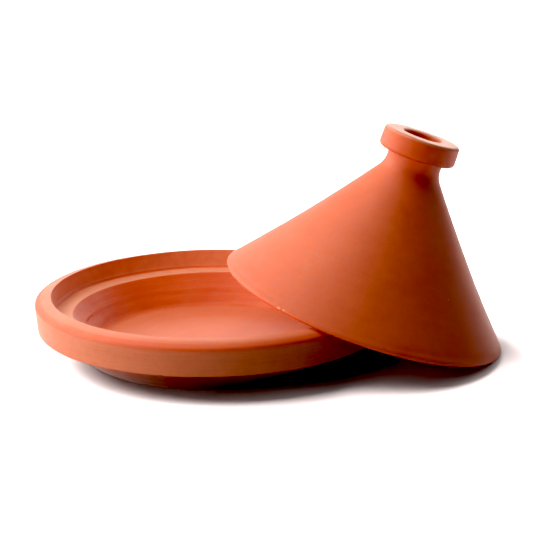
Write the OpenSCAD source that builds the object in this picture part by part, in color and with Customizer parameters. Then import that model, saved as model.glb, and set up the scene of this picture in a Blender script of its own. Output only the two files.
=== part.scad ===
// Terracotta tagine: a shallow cooking dish with a ledge for the lid, and the
// conical lid, set down beside the dish with its edge leaning on the dish's rim.
// The dish stands at the origin and the lid leans towards +X.

/* [Dish] */
// Outer radius of the dish at its shoulder
dish_r = 150; // [149:0.5:155]
// Height of the rim's inner edge above the table
dish_h = 51; // [49:0.5:51]
// Radius of the rim's inner edge
rim_inner_r = 135.5; // [134:0.5:138]
// Height of the shoulder, where the rolled rim turns into the side band
shoulder_h = 46.5; // [44:0.5:47]
// Height of the side band's lower edge
band_bottom_h = 23.5; // [20:0.5:30]
// Taper of the side band, its inward lean from top to bottom
band_taper = 2; // [0:0.5:4]
// Radius of the flat foot
foot_r = 109; // [100:1:116]

/* [Bowl] */
// Height of the ledge that carries the lid
ledge_h = 34; // [32:0.5:38]
// Radius of the ledge's inner edge
ledge_inner_r = 118; // [115:0.5:119]
// Radius of the ledge's outer corner, at the foot of the rim's wall
ledge_outer_r = 134; // [130:0.5:135]
// Radius of the bowl's flat floor
floor_r = 98; // [85:1:102]
// Thickness of the bowl's floor
floor_t = 8; // [6:0.5:12]

/* [Lid] */
// Outer radius of the lid's bottom edge
lid_edge_r = 121.3; // [120:0.1:121.3]
// Width of the narrow flat under the lid's edge
lid_edge_w = 3; // [2:0.5:4]
// Radius that the cone's side would reach at the bottom plane
cone_base_r = 124.7; // [124.7:0.1:128]
// Slope of the cone's side at the bottom, radius lost per unit of height
cone_slope = 0.915; // [0.9:0.005:0.93]
// Flare of the cone, the share of the slope that it loses per unit of height
cone_flare = 0.00078; // [0.0007:0.00001:0.001]
// Wall thickness of the cone, measured level
cone_wall = 10; // [9:0.5:12]
// Radius of the neck under the collar
neck_r = 23.5; // [22:0.5:25]
// Height of the neck's closed top, where the collar is joined on
neck_h = 134.5; // [133:0.5:138]

/* [Collar] */
// Largest radius of the collar, near its bottom
collar_r = 32.7; // [30:0.1:36]
// Height of the collar
collar_h = 18; // [16:0.5:24]
// Radius of the well in the collar's top
well_r = 15.8; // [13:0.2:18]

/* [Resting place] */
// Tilt of the lid from upright
lid_tilt = 18.1; // [18.1:0.1:22]
// Distance from the dish's centre to the centre of the lid's bottom edge
lid_offset = 128.5; // [128:0.5:131]

/* [Hidden] */
$fn = 180;

dish_clay = [0.80, 0.38, 0.22];
lid_clay = [0.78, 0.35, 0.19];
collar_clay = [0.82, 0.42, 0.27];

// steps of each rounded corner, and of the dome inside the lid
corner_steps = 6;
dome_steps = 8;

// rolled rim: the point where its top starts to fall away, by its distance from the rim's
// inner edge and its drop below it, and the rim's roundings
roll_w = 7.5;
roll_drop = 1;
roll_break = [rim_inner_r + roll_w, dish_h - roll_drop];
roll_round = 16;
shoulder_round = 2.5;
// underside: the point where the band's lip turns into the sloping base, by its distance in
// from the shoulder and its drop below the band, and the underside's roundings
lip_w = 11;
lip_drop = 1.5;
under_lip = [dish_r - lip_w, band_bottom_h - lip_drop];
under_round = 4;
foot_round = 1.5;
ledge_edge_round = 1.5;
ledge_corner_round = 2.5;
floor_round = 9;

// lid's edge: height of its widest point, and its roundings
edge_bevel = 0.435;
edge_h = (cone_base_r - lid_edge_r) / (edge_bevel + cone_slope);
edge_round = 3;
lip_round = 1.1;
// hollow: the height where the cone's wall meets the lid's bottom edge, and its rounding
mouth_h = 6;
mouth_round = 3;
neck_round = 18;
cone_from = 14;
cone_to = 114;
cone_step = 10;

// dome that closes the hollow under the neck
dome_r = 25.4;
dome_angle = 38;
dome_z = cone_to - dome_r * sin(dome_angle);
hollow_to = 104;

// collar: roundings and the slight lean of its side
collar_lean = 0.7;
collar_top_round = 2.5;
collar_bottom_round = 4;
well_round = 2;

// Radius of the lid's outer side at height z.
function cone_radius(z) = cone_base_r - cone_slope * z + cone_flare * z * z;

// Height at which the cone's side, carried on straight from cone_to, meets the neck.
cone_end_slope = cone_slope - 2 * cone_flare * cone_to;
neck_z = cone_to + (cone_radius(cone_to) - neck_r) / cone_end_slope;

// Height of the centre of the lid's bottom edge, with its far side on the table.
lip_inset = lip_round / tan(45 + atan(edge_bevel) / 2);
lid_rise = (lid_edge_r - lip_inset) * sin(lid_tilt) + lip_round * (1 - cos(lid_tilt));

// Arc that rounds the corner at p between the points a and b, as a list of points.
function unit(v) = v / norm(v);
function corner(a, p, b, r) =
    let (u = unit(a - p), v = unit(b - p))
    let (half = acos(u * v) / 2)
    let (centre = p + unit(u + v) * r / sin(half))
    let (from = p + u * r / tan(half) - centre)
    let (turn = (180 - 2 * half) * sign(u[0] * v[1] - u[1] * v[0]))
    [for (i = [0 : corner_steps])
        let (t = -turn * i / corner_steps)
        centre + [from[0] * cos(t) - from[1] * sin(t), from[0] * sin(t) + from[1] * cos(t)]];

// Outline through [x, y, rounding] points, with each corner rounded as asked.
function rounded(pts) =
    let (n = len(pts))
    let (xy = [for (p = pts) [p[0], p[1]]])
    [for (i = [0 : n - 1])
        each pts[i][2] == 0 ? [xy[i]]
            : corner(xy[(i + n - 1) % n], xy[i], xy[(i + 1) % n], pts[i][2])];

module turned(outline) {
    rotate_extrude() polygon(rounded(outline));
}

// Moves the lid from its own upright frame to its leaning place.
module lean() {
    translate([lid_offset, 0, lid_rise]) rotate([0, lid_tilt, 0]) children();
}

module dish() {
    color(dish_clay)
    turned([
        [0, 0, 0],
        [foot_r, 0, foot_round],
        [under_lip[0], under_lip[1], under_round],
        [dish_r - band_taper, band_bottom_h, 0],
        [dish_r, shoulder_h, shoulder_round],
        [roll_break[0], roll_break[1], roll_round],
        [rim_inner_r, dish_h, 0],
        [ledge_outer_r, ledge_h, ledge_corner_round],
        [ledge_inner_r, ledge_h, ledge_edge_round],
        [floor_r, floor_t, floor_round],
        [0, floor_t, 0],
    ]);
}

module lid_cone() {
    outside = [for (z = [cone_from : cone_step : cone_to]) [cone_radius(z), z, 0]];
    inside = [for (z = [hollow_to : -cone_step : cone_from]) [cone_radius(z) - cone_wall, z, 0]];
    dome = [for (i = [0 : dome_steps])
        let (a = 90 - (90 - dome_angle) * i / dome_steps)
        [dome_r * cos(a), dome_z + dome_r * sin(a), 0]];
    color(lid_clay)
    lean()
    turned(concat(
        [[lid_edge_r - lid_edge_w, 0, lip_round], [lid_edge_r, 0, lip_round]],
        [[lid_edge_r + edge_bevel * edge_h, edge_h, edge_round]],
        outside,
        [[neck_r, neck_z, neck_round], [neck_r, neck_h, 0], [0, neck_h, 0]],
        dome,
        inside,
        [[cone_radius(mouth_h) - cone_wall, mouth_h, mouth_round]]
    ));
}

module lid_collar() {
    color(collar_clay)
    lean()
    translate([0, 0, neck_h])
    turned([
        [well_r, 0, 0],
        [collar_r, 0, collar_bottom_round],
        [collar_r - collar_lean, collar_h, collar_top_round],
        [well_r, collar_h, well_round],
    ]);
}

dish();
lid_cone();
lid_collar();
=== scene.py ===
import math

import bpy
import numpy as np
from mathutils import Matrix, Vector, noise


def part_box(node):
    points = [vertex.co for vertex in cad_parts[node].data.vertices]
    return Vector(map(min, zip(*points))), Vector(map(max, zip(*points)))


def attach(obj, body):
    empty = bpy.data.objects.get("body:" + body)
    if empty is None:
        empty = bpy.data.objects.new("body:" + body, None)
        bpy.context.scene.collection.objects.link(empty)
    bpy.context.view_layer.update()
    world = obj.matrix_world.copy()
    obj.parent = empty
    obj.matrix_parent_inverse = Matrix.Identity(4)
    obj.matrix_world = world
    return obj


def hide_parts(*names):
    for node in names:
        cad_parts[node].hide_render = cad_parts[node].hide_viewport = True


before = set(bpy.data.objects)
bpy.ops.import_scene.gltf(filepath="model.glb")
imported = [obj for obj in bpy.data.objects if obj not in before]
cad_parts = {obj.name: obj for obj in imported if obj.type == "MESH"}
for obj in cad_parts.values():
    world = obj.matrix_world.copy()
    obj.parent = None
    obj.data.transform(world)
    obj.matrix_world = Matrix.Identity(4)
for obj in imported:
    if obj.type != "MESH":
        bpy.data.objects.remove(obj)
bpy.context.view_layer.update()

MM = 0.001
TAU = math.tau

# How finely a turned piece is built: its rings where it shows and where it doesn't, and its spokes
RING_STEP = 1.2 * MM
LID_RING_STEP = 1.5 * MM
COLLAR_RING_STEP = 0.8 * MM
HIDDEN_STEP = 4 * MM
RING_TURN = math.radians(6)
SPOKES = 270
COLLAR_SPOKES = 200
FINE_SPOKE = math.radians(0.25)
LINE_STEP = 0.1 * MM

# How far a sponge and handling have softened each edge, and the turn that makes a corner sharp
EDGE_SOFTNESS = 0.45 * MM
SHARP_CORNER = math.radians(25)
# Corners softened further, as (radius, height, reach, softness)
SOFT_SHOULDER = (150 * MM, 46.5 * MM, 7 * MM, 2 * MM)
SOFT_LEDGE_CORNER = (134 * MM, 34 * MM, 6 * MM, 2 * MM)

# How far each surface is drawn in, so that its unevenness stays about inside the CAD's
DISH_DRAWN_IN = 0.25 * MM
CONE_DRAWN_IN = 0.2 * MM
# Up to where the dish's foot stays flat, and from where it is as uneven as the rest
FOOT_FLAT = 0.5 * MM
FOOT_FREE = 4 * MM

# The gouge in the bowl's wall: its height, half its width, its angles and its depth
GOUGE_HEIGHT = 20.7 * MM
GOUGE_WIDTH = 0.75 * MM
GOUGE_FROM, GOUGE_TO, GOUGE_FADE = (math.radians(a) for a in (170.5, 178, 1.5))
GOUGE_DEPTH = 0.4 * MM
# The burr thrown up beside it: its place and sharpness in half widths, and its height
BURR_AT = 1.9
BURR_SHARPNESS = 4
BURR_HEIGHT = 0.06 * MM

# Camera: where it stands around the middle of the dish's foot, and the point it looks at
CAMERA_AZIMUTH = math.radians(4.19)
CAMERA_ELEVATION = math.radians(18.18)
CAMERA_DISTANCE = 1.2057
CAMERA_AIM_ACROSS = 0.0464
CAMERA_AIM_UP = 0.0699
CAMERA_ROLL = math.radians(-0.38)
CAMERA_LENS_MM = 94.56

FLOOR_WIDTH = 24
FLOOR_GREY = 0.35
FLOOR_ROUGHNESS = 0.9
DISH_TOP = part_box("dish")[1].z
SOFTBOX_DISTANCE = 0.85
PANEL_DISTANCE = 3
# The level that shows as black, which deepens the shadows as the picture's grading does
VIEW_BLACK = 0.038
SWEEP_TINT = (1, 0.88, 0.87)


# ------------------------------------------------------------------ outlines

def upright(node):
    """The place of a turned node: its axis as +Z, with its lowest point along that at zero."""
    points = np.array([v.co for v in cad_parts[node].data.vertices], float)
    points = np.unique(points.round(6), axis=0)
    middle = points.mean(axis=0)
    spread, directions = np.linalg.eigh(np.cov((points - middle).T))
    lone = 0 if spread[1] - spread[0] > spread[2] - spread[1] else 2
    axis = directions[:, lone] * np.sign(directions[2, lone])
    across = Vector((0, 1, 0)).cross(Vector(axis)).normalized()
    place = Matrix((across, Vector(axis).cross(across), Vector(axis))).transposed().to_4x4()
    place.translation = Vector(middle + axis * ((points - middle) @ axis).min())
    return place


def turned_outline(node, place):
    """The corners, as (radius, height), of the outline that a node was turned from, in order.
    They run from the underside outwards and over, and a ring's come back to where they start."""
    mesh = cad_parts[node].data
    inverse = place.inverted()
    local = np.array([inverse @ v.co for v in mesh.vertices], float)
    flat = np.stack([np.hypot(local[:, 0], local[:, 1]), local[:, 2]], axis=1)
    corners, corner_of = np.unique(flat.round(5), axis=0, return_inverse=True)
    corner_of = corner_of.ravel()
    near = {i: set() for i in range(len(corners))}
    for edge in mesh.edges:
        a, b = (int(corner_of[v]) for v in edge.vertices)
        if a != b:
            near[a].add(b)
            near[b].add(a)
    ends = [i for i in near if len(near[i]) == 1]
    walk = [min(ends, key=lambda i: corners[i][1]) if ends else int(corners[:, 1].argmin())]
    while True:
        ahead = [i for i in near[walk[-1]] if i not in walk]
        if not ahead:
            break
        walk.append(max(ahead, key=lambda i: corners[i][0]))
    path = corners[walk]
    if ends:
        tips = [[(0, path[i][1])] if path[i][0] > LINE_STEP else [] for i in (0, -1)]
    else:
        tips = [[(path[0] + path[-1]) / 2]] * 2
    return np.array(tips[0] + list(path) + tips[1])


def evenly(line, step):
    """Points at even spacing along a line."""
    along = np.concatenate([[0], np.cumsum(np.hypot(*np.diff(line, axis=0).T))])
    wanted = np.linspace(0, along[-1], max(2, round(along[-1] / step)))
    return np.stack([np.interp(wanted, along, line[:, k]) for k in (0, 1)], axis=1)


def softened(line, softness):
    """A fine line smoothed over a distance, with its ends kept."""
    sigma = softness / LINE_STEP
    reach = math.ceil(4 * sigma)
    weights = np.exp(-0.5 * (np.arange(-reach, reach + 1) / sigma) ** 2)
    weights /= weights.sum()
    before = 2 * line[0] - line[reach:0:-1]
    after = 2 * line[-1] - line[-2:-reach - 2:-1]
    padded = np.vstack([before, line, after])
    return np.stack([np.convolve(padded[:, k], weights, mode="valid") for k in (0, 1)], axis=1)


def flowing(path, soft_spots):
    """An outline as a fine line: curved through its gentle corners, and softened at the sharp.
    soft_spots are the corners softened further, as (radius, height, reach, softness)."""
    steps = np.diff(path, axis=0)
    lengths = np.hypot(*steps.T)
    leave = steps / lengths[:, None]
    arrive = leave.copy()
    turns = np.arccos(np.clip((leave[1:] * leave[:-1]).sum(axis=1), -1, 1))
    for i, turn in enumerate(turns, start=1):
        if turn < SHARP_CORNER:
            mean = steps[i - 1] + steps[i]
            leave[i] = arrive[i - 1] = mean / np.hypot(*mean)
    fine = []
    for i, length in enumerate(lengths):
        t = np.linspace(0, 1, max(2, math.ceil(length / LINE_STEP)), endpoint=False)[:, None]
        fine.append(path[i] * (1 + 2 * t) * (1 - t) ** 2 + path[i + 1] * (3 - 2 * t) * t ** 2
                    + length * (leave[i] * t * (1 - t) ** 2 - arrive[i] * t ** 2 * (1 - t)))
    line = evenly(np.vstack(fine + [path[-1:]]), LINE_STEP)
    soft = softened(line, EDGE_SOFTNESS)
    for radius, height, reach, softness in soft_spots:
        away = np.hypot(line[:, 0] - radius, line[:, 1] - height)
        share = np.exp(-(away / reach) ** 2)[:, None]
        soft += share * (softened(line, softness) - soft)
    return soft


def rings(line, step_at):
    """The points of a fine line that get a ring, with the outward normal at each.
    step_at gives the wanted spacing at a point, and a bend has more."""
    ahead = np.gradient(line, axis=0)
    ahead /= np.hypot(*ahead.T)[:, None]
    heading = np.unwrap(np.arctan2(ahead[:, 1], ahead[:, 0]))
    turn = np.concatenate([[0], np.cumsum(np.abs(np.diff(heading)))])
    need = LINE_STEP / step_at(line[:, 0], line[:, 1]) + np.gradient(turn) / RING_TURN
    place = np.concatenate([[0], np.cumsum((need[1:] + need[:-1]) / 2)])
    wanted = np.linspace(0, place[-1], math.ceil(place[-1]) + 1)
    index = np.interp(wanted, place, np.arange(len(line)))
    pick = lambda values: np.interp(index, np.arange(len(line)), values)
    points = np.stack([pick(line[:, 0]), pick(line[:, 1])], axis=1)
    normals = np.stack([pick(ahead[:, 1]), pick(-ahead[:, 0])], axis=1)
    return points, normals / np.hypot(*normals.T)[:, None]


def spokes(count, *stretches):
    """Angles right round, closer together over each stretch, from one angle to another."""
    angles = np.linspace(0, TAU, count, endpoint=False)
    for start, end in np.radians(stretches):
        extra = np.linspace(start, end, math.ceil((end - start) / FINE_SPOKE))
        angles = np.concatenate([angles[(angles < start) | (angles > end)], extra])
    return np.sort(angles)


# ------------------------------------------------------------------ clay surfaces

def step(low, high, value):
    """Rises smoothly from 0 at low to 1 at high, or the other way round where high is lower."""
    t = np.clip((np.asarray(value) - low) / (high - low), 0, 1)
    return t * t * (3 - 2 * t)


def between(low, high, soft, value):
    """1 between low and high, falling to 0 over soft on either side."""
    return step(low - soft, low, value) * step(high + soft, high, value)


def noisy(*coordinates):
    """Smooth noise from about -1 to 1, at arrays of up to three coordinates."""
    grids = np.broadcast_arrays(*coordinates, *[0.0] * (3 - len(coordinates)))
    stacked = np.stack([g.ravel() for g in grids], axis=1)
    return np.array([noise.noise(p) for p in stacked]).reshape(grids[0].shape)


def turning_marks(along, angle, pitch, seed):
    """Rings that fingers leave on a turning wall: a line of noise that drifts round it."""
    swing = 0.35
    return noisy(along / pitch + angle / TAU, seed + swing * np.cos(angle), swing * np.sin(angle))


class Clay:
    """The grid of a turned piece: rings along its outline, spokes round its axis."""

    def __init__(self, node, place, step_at, angles, soft_spots=()):
        line = flowing(turned_outline(node, place), soft_spots)
        points, normals = rings(line, step_at)
        self.radius, self.height = (points[:, k, None] for k in (0, 1))
        self.out, self.up = (normals[:, k, None] for k in (0, 1))
        spacing = np.hypot(*np.diff(points, axis=0).T)
        self.along = np.concatenate([[0], np.cumsum(spacing)])[:, None]
        self.angle = angles[None, :]
        self.x = self.radius * np.cos(self.angle)
        self.y = self.radius * np.sin(self.angle)
        self.z = self.height + 0 * self.angle
        self.lift = np.zeros_like(self.z)
        self.marks = {}

    def undulation(self, size, depth, seed):
        """Unevenness of about one size, as deep as depth each way."""
        return depth * noisy(self.x / size + seed, self.y / size, self.z / size)

    def rings_of(self, pitch, depth, seed):
        """Turning marks at about one pitch, as deep as depth each way."""
        return depth * turning_marks(self.along, self.angle, pitch, seed)

    def spot(self, angle, height, wide, tall):
        """1 in a small patch of the outer side at an angle in degrees and a height."""
        turn = (self.angle - math.radians(angle) + math.pi) % TAU - math.pi
        away = np.hypot(turn * self.radius / wide, (self.z - height) / tall)
        return np.exp(-away ** 4) * step(-0.1, 0.2, self.out)

    def piece(self, name, place, body, node, material):
        """The mesh object: its grid moved by lift along the normals, with its marks on it."""
        reach = self.radius + self.lift * self.out
        tall = self.height + self.lift * self.up
        grid = np.stack([reach * np.cos(self.angle), reach * np.sin(self.angle), tall], axis=2)
        ring_count, spoke_count = self.z.shape
        first, last = self.radius[0, 0] < LINE_STEP, self.radius[-1, 0] < LINE_STEP
        closed = not first and not last
        inner = grid[int(first):ring_count - (1 if last or closed else 0)]
        points = list(inner.reshape(-1, 3))
        count = len(inner)
        faces = []
        for i in range(count if closed else count - 1):
            for j in range(spoke_count):
                k = (j + 1) % spoke_count
                a, b = i * spoke_count, (i + 1) % count * spoke_count
                faces.append((a + j, a + k, b + k, b + j))
        for is_tip, row, base in ((first, 0, 0), (last, -1, (count - 1) * spoke_count)):
            if is_tip:
                tip = len(points)
                points.append(grid[row].mean(axis=0))
                around = [(base + j, base + (j + 1) % spoke_count) for j in range(spoke_count)]
                faces += [(tip, b, a) if row == 0 else (tip, a, b) for a, b in around]
        points = np.array(points)
        mesh = bpy.data.meshes.new(name)
        mesh.from_pydata([place @ Vector(p) for p in points], [], faces)
        turned_at = mesh.attributes.new("turned_at", "FLOAT_VECTOR", "POINT")
        turned_at.data.foreach_set("vector", points.ravel().astype(np.float32))
        for key, values in self.marks.items():
            values = np.broadcast_to(values, self.z.shape)
            flat = list(values[int(first):][:count].ravel())
            flat += [values[row].mean() for is_tip, row in ((first, 0), (last, -1)) if is_tip]
            attribute = mesh.attributes.new(key, "FLOAT", "POINT")
            attribute.data.foreach_set("value", np.array(flat, np.float32))
        mesh.shade_smooth()
        mesh.materials.append(material)
        piece = bpy.data.objects.new(name, mesh)
        bpy.context.scene.collection.objects.link(piece)
        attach(piece, body)
        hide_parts(node)
        return piece


def dish_step(radius, height):
    """The spacing of the dish's rings: wide at the foot and the centre, close at the gouge."""
    foot = step(122 * MM, 116 * MM, radius) * step(9 * MM, 7 * MM, height)
    core = step(60 * MM, 20 * MM, radius)
    gouged = between(19 * MM, 22 * MM, 1 * MM, height) * step(112 * MM, 110 * MM, radius)
    return RING_STEP + foot * HIDDEN_STEP + core * RING_STEP - gouged * 0.8 * MM


def make_dish(material):
    place = upright("dish")
    angles = spokes(SPOKES, (165, 183), (242, 246), (257, 260))
    clay = Clay("dish", place, dish_step, angles, (SOFT_SHOULDER, SOFT_LEDGE_CORNER))

    # The zones of its surface, each 1 inside and 0 outside
    floor = step(100 * MM, 92 * MM, clay.radius) * step(7 * MM, 7.5 * MM, clay.height)
    wall = between(94 * MM, 117 * MM, 3 * MM, clay.radius)
    wall = wall * between(8 * MM, 33 * MM, 1 * MM, clay.height) * step(-0.2, 0.2, -clay.out)
    band = step(0.8, 0.97, clay.out) * step(140 * MM, 145 * MM, clay.radius)
    ledge = step(0.85, 0.98, clay.up) * between(30 * MM, 37 * MM, 1 * MM, clay.height)
    roll = step(0.3, 0.7, clay.up) * step(45 * MM, 47 * MM, clay.height)
    rim_wall = step(0.8, 0.97, -clay.out) * between(35 * MM, 50 * MM, 1 * MM, clay.height)
    under = step(-0.1, -0.4, clay.up) * step(1 * MM, 3 * MM, clay.height)

    # The pitch and the depth, in millimetres, of each zone's turning marks
    turned = (
        (wall, 5.5, 0.35),
        (floor, 9, 0.2),
        (band, 3.2, 0.14),
        (under, 5, 0.15),
        (ledge, 4, 0.12),
        (rim_wall, 4, 0.15),
        (roll, 6, 0.15),
    )
    for seed, (zone, pitch, depth) in enumerate(turned, start=1):
        clay.lift += zone * clay.rings_of(pitch * MM, depth * MM, seed)
    standing = step(FOOT_FLAT, FOOT_FREE, clay.height)
    clay.lift += standing * clay.undulation(45 * MM, 0.35 * MM, 11)
    clay.lift += standing * clay.undulation(9 * MM, 0.1 * MM, 12)
    clay.lift -= standing * DISH_DRAWN_IN

    across = (clay.height - GOUGE_HEIGHT) / GOUGE_WIDTH
    along = wall * between(GOUGE_FROM, GOUGE_TO, GOUGE_FADE, clay.angle)
    clay.lift -= GOUGE_DEPTH * along * np.exp(-across ** 2)
    clay.lift += BURR_HEIGHT * along * np.exp(-(np.abs(across) - BURR_AT) ** 2 * BURR_SHARPNESS)
    chip = clay.spot(258.5, 23.2 * MM, 1.6 * MM, 0.9 * MM)
    dent = clay.spot(244, 23 * MM, 3 * MM, 0.8 * MM)
    clay.lift -= 0.7 * MM * chip + 0.35 * MM * dent

    # Handling wears the dust off the shoulder, which gets none of the pale coat of dust and painted
    # highlight
    worn = step(43 * MM, 46 * MM, clay.height) * step(143 * MM, 146 * MM, clay.radius)
    # A pale coat, part dust and part painted highlight and sheen, lightens the ledge, the rim's
    # inner wall, the band, the roll and the bowl's floor, standing in for part of the light that
    # falls on them
    dust_and_painted_light = (0.42 * band + 0.25 * roll) * (1 - worn) + 0.7 * ledge + 0.55 * rim_wall
    dust_and_painted_light += 0.04 * wall + 0.25 * floor
    clay.marks["dust_and_painted_light"] = np.clip(dust_and_painted_light, 0, 1)
    streak = 0.55 * band + 0.7 * wall + 0.15 * under + 0.4 * ledge + 0.3 * (roll + floor)
    clay.marks["streak"] = np.clip(streak, 0, 1)
    return clay.piece("thrown_dish", place, "dish", "dish", material)


def make_lid(material):
    """The cone and the collar, which share the cone's place."""
    place = upright("lid_cone")
    angles = spokes(SPOKES, (231, 236), (291, 295))
    clay = Clay("lid_cone", place, lambda radius, height: LID_RING_STEP, angles)
    outside = step(-0.2, 0.2, clay.up)
    clay.lift += clay.rings_of(9 * MM, 0.12 * MM, 21)
    clay.lift += clay.undulation(45 * MM, 0.3 * MM, 22)
    clay.lift -= CONE_DRAWN_IN
    crease = outside * np.exp(-((clay.z - 6.5 * MM) / (1.2 * MM)) ** 2)
    clay.lift -= 0.25 * MM * crease
    chips = clay.spot(232.2, 2.6 * MM, 1.3 * MM, 0.9 * MM)
    chips = chips + clay.spot(234.6, 3 * MM, 0.9 * MM, 0.7 * MM)
    clay.lift -= 0.3 * MM * chips
    scratch = clay.spot(293, 27.5 * MM, 2 * MM, 0.45 * MM)
    clay.lift -= 0.25 * MM * scratch
    # The outside gets a little of the pale coat of dust and painted highlight, and the chips get
    # all of it
    clay.marks["dust_and_painted_light"] = np.clip(0.1 * outside + chips, 0, 1)
    clay.marks["streak"] = 0.12 + 0.88 * (1 - outside)
    cone = clay.piece("thrown_lid", place, "lid", "lid_cone", material)

    angles = spokes(COLLAR_SPOKES)
    collar = Clay("lid_collar", place, lambda radius, height: COLLAR_RING_STEP, angles)
    collar.lift += collar.undulation(20 * MM, 0.15 * MM, 31)
    collar.lift += collar.rings_of(4 * MM, 0.08 * MM, 32)
    # The collar's upward faces get the pale coat of dust and painted highlight, the more the more
    # they face up
    collar.marks["dust_and_painted_light"] = 0.6 * step(0.0, 0.6, collar.up)
    collar.marks["streak"] = 0.5
    return cone, collar.piece("thrown_collar", place, "lid", "lid_collar", material)


# ------------------------------------------------------------------ material

CLAY = (0.65, 0.105, 0.022, 1)
DEEP_CLAY = (0.59, 0.074, 0.010, 1)
# The pale coat: a dust colour that also stands in for painted highlight and sheen
CLAY_DUST_AND_HIGHLIGHT = (0.78, 0.33, 0.185, 1)
PALE_GRIT = (0.85, 0.48, 0.30, 1)
DARK_GRIT = (0.20, 0.045, 0.014, 1)


class Tree:
    """A material's nodes, added with their inputs by name and linked where an input is a socket."""

    def __init__(self, material):
        self.nodes = material.node_tree.nodes
        self.links = material.node_tree.links

    def feed(self, socket, value):
        if isinstance(value, bpy.types.NodeSocket):
            self.links.new(value, socket)
        else:
            socket.default_value = value

    def add(self, kind, inputs, output=0, **settings):
        node = self.nodes.new(kind)
        for key, value in settings.items():
            setattr(node, key, value)
        for key, value in inputs.items():
            self.feed(node.inputs[key], value)
        return node.outputs[output]

    def maths(self, operation, *values):
        return self.add("ShaderNodeMath", dict(enumerate(values)), operation=operation)

    def span(self, value, low, high, to_low=0.0, to_high=1.0):
        """value taken from low..high to to_low..to_high, and held there past its ends."""
        return self.add("ShaderNodeMapRange", {0: value, 1: low, 2: high, 3: to_low, 4: to_high})

    def mix(self, share, low, high):
        node = self.nodes.new("ShaderNodeMix")
        node.data_type = "RGBA"
        for index, value in ((0, share), (6, low), (7, high)):
            self.feed(node.inputs[index], value)
        return node.outputs[2]

    def noise(self, vector, per_metre, detail=2.0, w=None):
        inputs = {"Vector": vector, "Scale": per_metre, "Detail": detail}
        if w is None:
            return self.add("ShaderNodeTexNoise", inputs)
        return self.add("ShaderNodeTexNoise", {**inputs, "W": w}, noise_dimensions="4D")

    def grit(self, vector, per_metre, reach, share):
        """Round grains: 1 in each, reach as a part of their spacing, and share of them kept."""
        node = self.nodes.new("ShaderNodeTexVoronoi")
        self.feed(node.inputs["Vector"], vector)
        self.feed(node.inputs["Scale"], per_metre)
        chosen = self.add("ShaderNodeSeparateColor", {0: node.outputs["Color"]})
        size = self.span(chosen, 0.0, share, reach, 0.0)
        return self.maths("LESS_THAN", node.outputs["Distance"], size)


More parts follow.
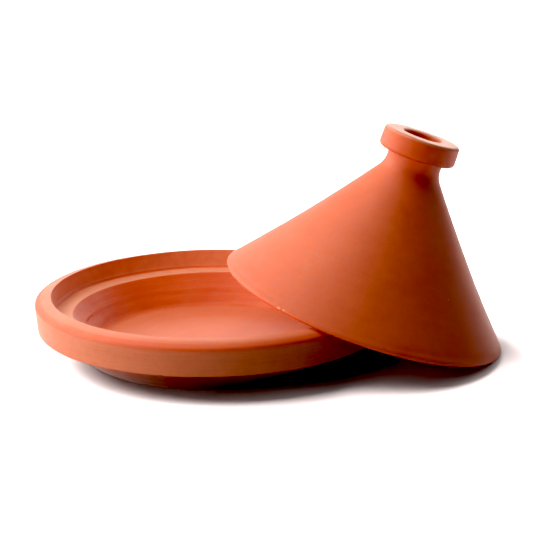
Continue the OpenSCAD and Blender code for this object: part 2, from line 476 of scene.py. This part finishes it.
def terracotta():
    """Fired clay, unglazed: blotched by the kiln, streaked by turning, gritty, and under a pale
    coat that is part dust and part painted highlight.
    """
    material = bpy.data.materials.new("terracotta")
    material.use_nodes = True
    tree = Tree(material)
    shader = tree.nodes["Principled BSDF"]
    place = tree.add("ShaderNodeAttribute", {}, output=1, attribute_name="turned_at")
    dust_and_painted_light_share = tree.add("ShaderNodeAttribute", {}, output=2, attribute_name="dust_and_painted_light")
    turned = tree.add("ShaderNodeAttribute", {}, output=2, attribute_name="streak")

    split = tree.nodes.new("ShaderNodeSeparateXYZ")
    tree.feed(split.inputs[0], place)
    flat = tree.add("ShaderNodeCombineXYZ", {"X": split.outputs[0], "Y": split.outputs[1]})
    heading = tree.add("ShaderNodeVectorMath", {0: flat}, operation="NORMALIZE")
    radius = tree.add("ShaderNodeVectorMath", {0: flat}, output=1, operation="LENGTH")

    def streaks(round_scale, across_scale, detail):
        """Noise drawn out round the axis, across_scale to a metre on the wall."""
        spread = {0: heading, "Scale": round_scale}
        around = tree.add("ShaderNodeVectorMath", spread, operation="SCALE")
        rise = tree.maths("MULTIPLY", split.outputs[2], across_scale)
        tall = tree.add("ShaderNodeCombineXYZ", {"Z": rise})
        vector = tree.add("ShaderNodeVectorMath", {0: around, 1: tall}, operation="ADD")
        return tree.noise(vector, 1.0, detail, tree.maths("MULTIPLY", radius, across_scale))

    blotch = tree.noise(place, 26.0, 3.0)
    mottle = tree.noise(place, 150.0, 3.0)
    grain = tree.noise(place, 1400.0, 2.0)
    broad = streaks(2.5, 210.0, 2.0)
    fine = streaks(5.0, 900.0, 2.0)
    pale = tree.grit(place, 75.0, 0.045, 0.22)
    dark = tree.grit(place, 110.0, 0.05, 0.12)
    pit = tree.grit(place, 210.0, 0.09, 0.16)

    broad_wear = tree.span(broad, 0.35, 0.65, -0.24, 0.24)
    fine_wear = tree.span(fine, 0.35, 0.65, -0.28, 0.28)
    wear = tree.maths("MULTIPLY", tree.maths("ADD", broad_wear, fine_wear), turned)
    cloud = tree.span(blotch, 0.35, 0.65, -0.3, 0.3)
    depth = tree.maths("ADD", tree.maths("ADD", wear, cloud), 0.45)
    clay = tree.mix(depth, DEEP_CLAY, CLAY)
    # The pale coat of dust and painted highlight, laid over the clay as far as the attribute asks
    dust_and_painted_light = tree.maths("MULTIPLY_ADD", wear, 0.5, tree.span(mottle, 0.35, 0.65, -0.08, 0.08))
    dust_and_painted_light = tree.maths("MULTIPLY", tree.maths("ADD", dust_and_painted_light, 1.0), dust_and_painted_light_share)
    colour = tree.mix(tree.span(dust_and_painted_light, 0.0, 1.0), clay, CLAY_DUST_AND_HIGHLIGHT)
    shade = tree.span(grain, 0.3, 0.7, 0.94, 1.06)
    shade = tree.maths("MULTIPLY", shade, tree.span(mottle, 0.3, 0.7, 0.97, 1.03))
    colour = tree.add("ShaderNodeVectorMath", {0: colour, "Scale": shade}, operation="SCALE")
    colour = tree.mix(tree.maths("MULTIPLY", pale, 0.7), colour, PALE_GRIT)
    colour = tree.mix(tree.maths("MULTIPLY", dark, 0.7), colour, DARK_GRIT)
    tree.feed(shader.inputs["Base Color"], colour)

    rough = tree.maths("MULTIPLY_ADD", dust_and_painted_light_share, 0.12, tree.span(mottle, 0.3, 0.7, 0.50, 0.65))
    tree.feed(shader.inputs["Roughness"], rough)

    height = tree.maths("MULTIPLY", grain, 0.05 * MM)
    ridges = tree.maths("MULTIPLY", tree.maths("MULTIPLY", fine, turned), 0.12 * MM)
    height = tree.maths("ADD", height, ridges)
    height = tree.maths("MULTIPLY_ADD", pit, -0.15 * MM, height)
    height = tree.maths("MULTIPLY_ADD", pale, 0.08 * MM, height)
    bump = tree.add("ShaderNodeBump", {"Height": height, "Distance": 1.0, "Strength": 1.0})
    tree.feed(shader.inputs["Normal"], bump)

    shader.inputs["Specular IOR Level"].default_value = 0.6
    shader.inputs["Sheen Weight"].default_value = 0.42
    shader.inputs["Sheen Roughness"].default_value = 0.3
    shader.inputs["Sheen Tint"].default_value = (1.0, 0.86, 0.80, 1)
    return material


# ------------------------------------------------------------------ studio

def add_camera():
    azimuth, elevation = CAMERA_AZIMUTH, CAMERA_ELEVATION
    place = CAMERA_DISTANCE * Vector((
        math.sin(azimuth) * math.cos(elevation),
        -math.cos(azimuth) * math.cos(elevation),
        math.sin(elevation),
    ))
    aim = Vector((math.cos(azimuth), math.sin(azimuth), 0)) * CAMERA_AIM_ACROSS
    aim.z = CAMERA_AIM_UP
    camera = bpy.data.objects.new("camera", bpy.data.cameras.new("camera"))
    camera.data.lens = CAMERA_LENS_MM
    camera.location = place
    turn = (aim - place).to_track_quat("-Z", "Y").to_matrix()
    camera.rotation_euler = (turn @ Matrix.Rotation(CAMERA_ROLL, 3, "Z")).to_euler()
    bpy.context.scene.collection.objects.link(camera)
    bpy.context.scene.camera = camera


def add_floor():
    """A plain sweep, lit until it shows as white, which throws no diffuse light up at the pot."""
    half = FLOOR_WIDTH / 2
    corners = [(-half, -half, 0), (half, -half, 0), (half, half, 0), (-half, half, 0)]
    mesh = bpy.data.meshes.new("floor")
    mesh.from_pydata(corners, [], [(0, 1, 2, 3)])
    floor = bpy.data.objects.new("floor", mesh)
    material = bpy.data.materials.new("floor")
    material.use_nodes = True
    shader = material.node_tree.nodes["Principled BSDF"]
    shader.inputs["Base Color"].default_value = (FLOOR_GREY, FLOOR_GREY, FLOOR_GREY, 1)
    shader.inputs["Roughness"].default_value = FLOOR_ROUGHNESS
    mesh.materials.append(material)
    floor.visible_diffuse = False
    bpy.context.scene.collection.objects.link(floor)
    return floor


def add_light(name, kind, azimuth, elevation, distance, **settings):
    """A light aimed at the dish. Azimuth 0 is in front of it, and 90 to its right."""
    azimuth, elevation = math.radians(azimuth), math.radians(elevation)
    light = bpy.data.objects.new(name, bpy.data.lights.new(name, kind))
    for key, value in settings.items():
        setattr(light.data, key, value)
    aim = Vector((0, 0, DISH_TOP))
    light.location = aim + distance * Vector((
        math.sin(azimuth) * math.cos(elevation),
        -math.cos(azimuth) * math.cos(elevation),
        math.sin(elevation),
    ))
    light.rotation_euler = (aim - light.location).to_track_quat("-Z", "Y").to_euler()
    bpy.context.scene.collection.objects.link(light)
    return light


def softbox(name, azimuth, elevation, size, power):
    """A round softbox near the pot, with its size in metres."""
    settings = {"shape": "DISK", "size": size, "energy": power}
    return add_light(name, "AREA", azimuth, elevation, SOFTBOX_DISTANCE, **settings)


def far_panel(name, azimuth, elevation, spread, strength):
    """A panel far away, as wide as spread in degrees."""
    settings = {"angle": math.radians(spread), "energy": strength}
    return add_light(name, "SUN", azimuth, elevation, PANEL_DISTANCE, **settings)


def flag_off(lights, name, receivers):
    """Lets a set of lights reach only the receivers, as flags do in a studio."""
    lit = bpy.data.collections.new(name)
    for receiver in receivers:
        lit.objects.link(receiver)
    for light in lights:
        light.light_linking.receiver_collection = lit


def add_lights(floor, pieces):
    """The pot's lights and the sweep's are apart, so that the sweep can burn out to white."""
    fills = [
        softbox("front_left", 315, 32, 0.5, 1.4),
        softbox("front", 320, 16, 0.5, 1.6),
    ]
    # The fills light the pot without a shine
    for fill in fills:
        fill.visible_glossy = False
    pot_lights = fills + [
        softbox("top", 0, 85, 0.5, 1.9),
        softbox("left_high", 270, 62, 0.5, 3.0),
        softbox("left_middle", 272, 30, 0.9, 3.1),
        softbox("left_low", 285, 13, 0.5, 2.7),
        softbox("left_back", 225, 30, 0.5, 2.7),
        softbox("right_back", 150, 20, 0.5, 2.4),
        softbox("right", 100, 30, 0.5, 0.75),
        far_panel("far_left_back", 240, 12, 28, 0.7),
        far_panel("far_back", 180, 20, 28, 1.0),
    ]
    sweep_lights = [
        far_panel("sweep_left", 270, 50, 50, 24),
        far_panel("sweep_left_back", 225, 25, 30, 14.6),
        far_panel("sweep_back", 180, 50, 50, 1.9),
        far_panel("sweep_right_back", 135, 25, 30, 1.9),
        far_panel("sweep_front_left", 315, 25, 30, 1.2),
        far_panel("sweep_front", 0, 35, 60, 0.3),
        far_panel("sweep_right", 90, 50, 50, 1),
    ]
    flag_off(pot_lights, "pot", pieces)
    for light in sweep_lights:
        light.data.color = SWEEP_TINT
    flag_off(sweep_lights, "sweep", [floor])
    # Past the sweep's edge the camera sees white, which lights nothing
    world = bpy.data.worlds.new("studio")
    world.use_nodes = True
    world.node_tree.nodes["Background"].inputs["Color"].default_value = (1, 1, 1, 1)
    world.cycles_visibility.diffuse = False
    world.cycles_visibility.glossy = False
    scene = bpy.context.scene
    scene.world = world
    scene.view_settings.view_transform = "Standard"
    scene.view_settings.use_curve_mapping = True
    scene.view_settings.curve_mapping.black_level = (VIEW_BLACK,) * 3
    scene.view_settings.curve_mapping.update()


add_camera()
clay_material = terracotta()
pot = [make_dish(clay_material), *make_lid(clay_material)]
add_lights(add_floor(), pot)
